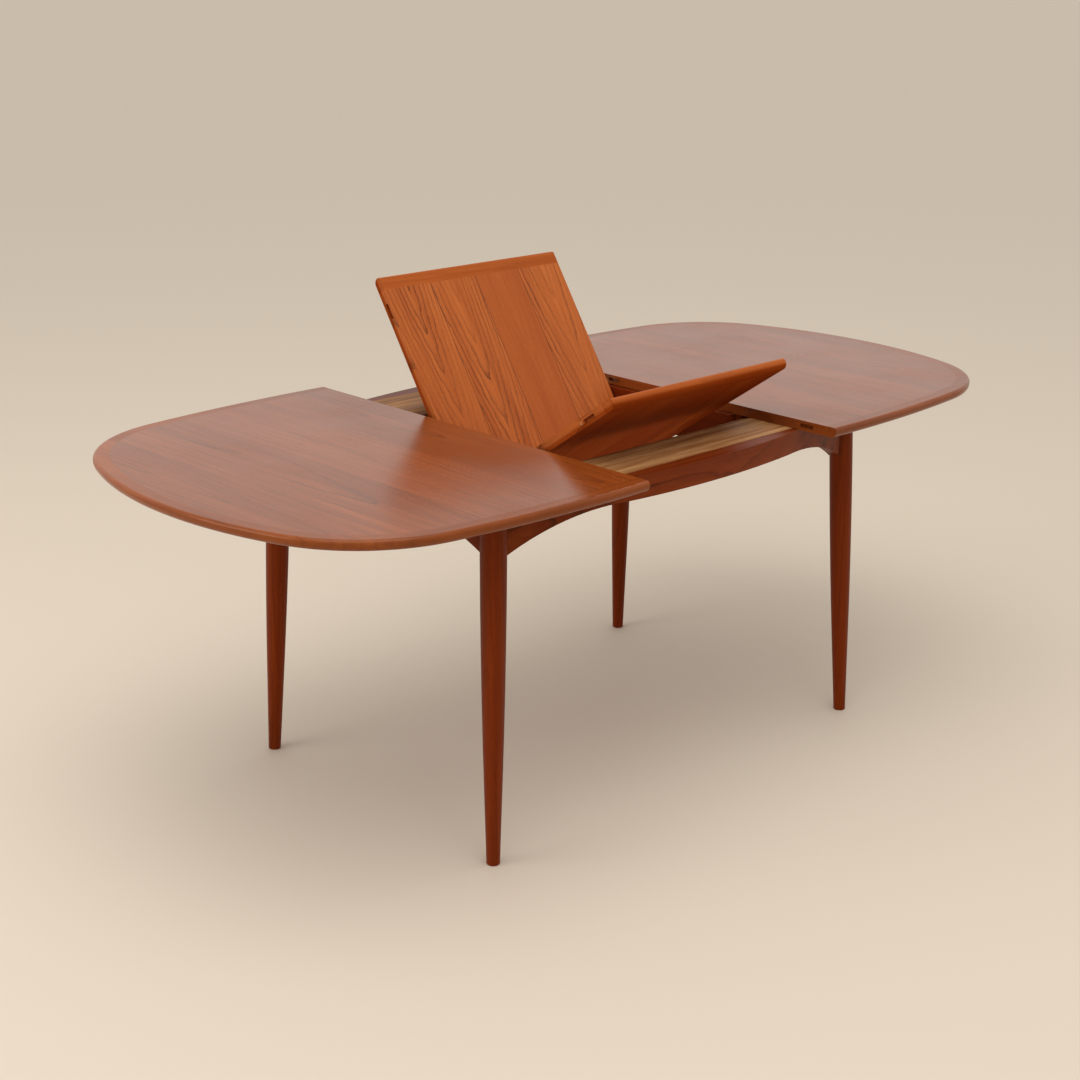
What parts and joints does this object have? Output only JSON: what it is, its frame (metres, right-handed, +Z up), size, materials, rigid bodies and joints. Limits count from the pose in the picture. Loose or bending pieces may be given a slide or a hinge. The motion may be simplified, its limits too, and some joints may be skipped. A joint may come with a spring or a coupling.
{
  "type": "extension dining table",
  "caption": "Wooden dining table with a boat-shaped top in two sliding halves, turned tapered legs and a hinged folding leaf that swings up out of the well between them.",
  "frame": {"origin": "on the floor at the middle of the table", "axes": "+X along the table, +Y across it towards the rear panel of the leaf, +Z up"},
  "size_m": [2.0038, 0.9846, 0.9939],
  "materials": {
    "leg_teak": "satin oiled teak, dark reddish brown",
    "apron_teak": "satin oiled teak, dark reddish brown",
    "light_hardwood": "plain secondary hardwood, unfinished, dull",
    "rail_teak": "plain reddish hardwood, dull",
    "dark_steel": "darkened steel screws",
    "brass": "aged brass",
    "lipping_teak": "satin lacquered solid teak",
    "tongue_hardwood": "plain hardwood, dull",
    "leaf_veneer": "satin lacquered teak veneer with cathedral grain",
    "top_veneer": "satin gloss lacquered teak veneer"
  },
  "bodies": {
    "frame": {"leg_front_left": "leg_teak", "leg_front_right": "leg_teak", "leg_rear_left": "leg_teak", "leg_rear_right": "leg_teak", "apron_front": "apron_teak", "apron_rear": "apron_teak", "apron_left_end": "apron_teak", "apron_right_end": "apron_teak", "slide_board_front": "light_hardwood", "slide_board_rear": "light_hardwood", "well_rail_left": "rail_teak", "well_rail_right": "rail_teak", "corner_blocks": "light_hardwood", "board_screws": "dark_steel"},
    "left_half": {"top_left_panel": "top_veneer", "lipping_left_front": "lipping_teak", "lipping_left_end": "lipping_teak", "lipping_left_rear": "lipping_teak", "runner_left_front": "light_hardwood", "runner_left_rear": "light_hardwood", "stop_peg_left": "tongue_hardwood", "top_left_tongues": "tongue_hardwood"},
    "right_half": {"top_right_panel": "top_veneer", "lipping_right_front": "lipping_teak", "lipping_right_end": "lipping_teak", "lipping_right_rear": "lipping_teak", "runner_right_front": "light_hardwood", "runner_right_rear": "light_hardwood", "stop_peg_right": "tongue_hardwood"},
    "leaf_rear": {"leaf_rear_panel": "leaf_veneer", "leaf_rear_lipping": "lipping_teak", "leaf_rear_tongues": "tongue_hardwood", "leaf_rear_hinges": "brass", "pivot_cleat_left": "light_hardwood", "pivot_cleat_right": "light_hardwood", "pivot_pin_left": "brass", "pivot_pin_right": "brass"},
    "leaf_front": {"leaf_front_panel": "leaf_veneer", "leaf_front_lipping": "lipping_teak", "leaf_front_tongues": "tongue_hardwood", "leaf_front_hinges": "brass", "leaf_front_catch": "brass"}
  },
  "joints": [
    {"name": "left_half_slide", "type": "slide", "parent": "frame", "child": "left_half", "axis": [-1, 0, 0], "range_m": [-0.0226, 0.012]},
    {"name": "right_half_slide", "type": "slide", "parent": "frame", "child": "right_half", "axis": [1, 0, 0], "range_m": [-0.0226, 0.012]},
    {"name": "leaf_pivot", "type": "hinge", "parent": "frame", "child": "leaf_rear", "pos_m": [0, 0.1566, 0.6984], "axis": [1, 0, 0], "range_deg": [-56.5, 55.5]},
    {"name": "leaf_fold", "type": "hinge", "parent": "leaf_rear", "child": "leaf_front", "pos_m": [0, 0.03948, 0.58813], "axis": [1, 0, 0], "range_deg": [-89.2, 90.76]}
  ],
  "couplings": [
    {"joint": "leaf_fold", "follows": "leaf_pivot", "ratio": -1.6062}
  ]
}
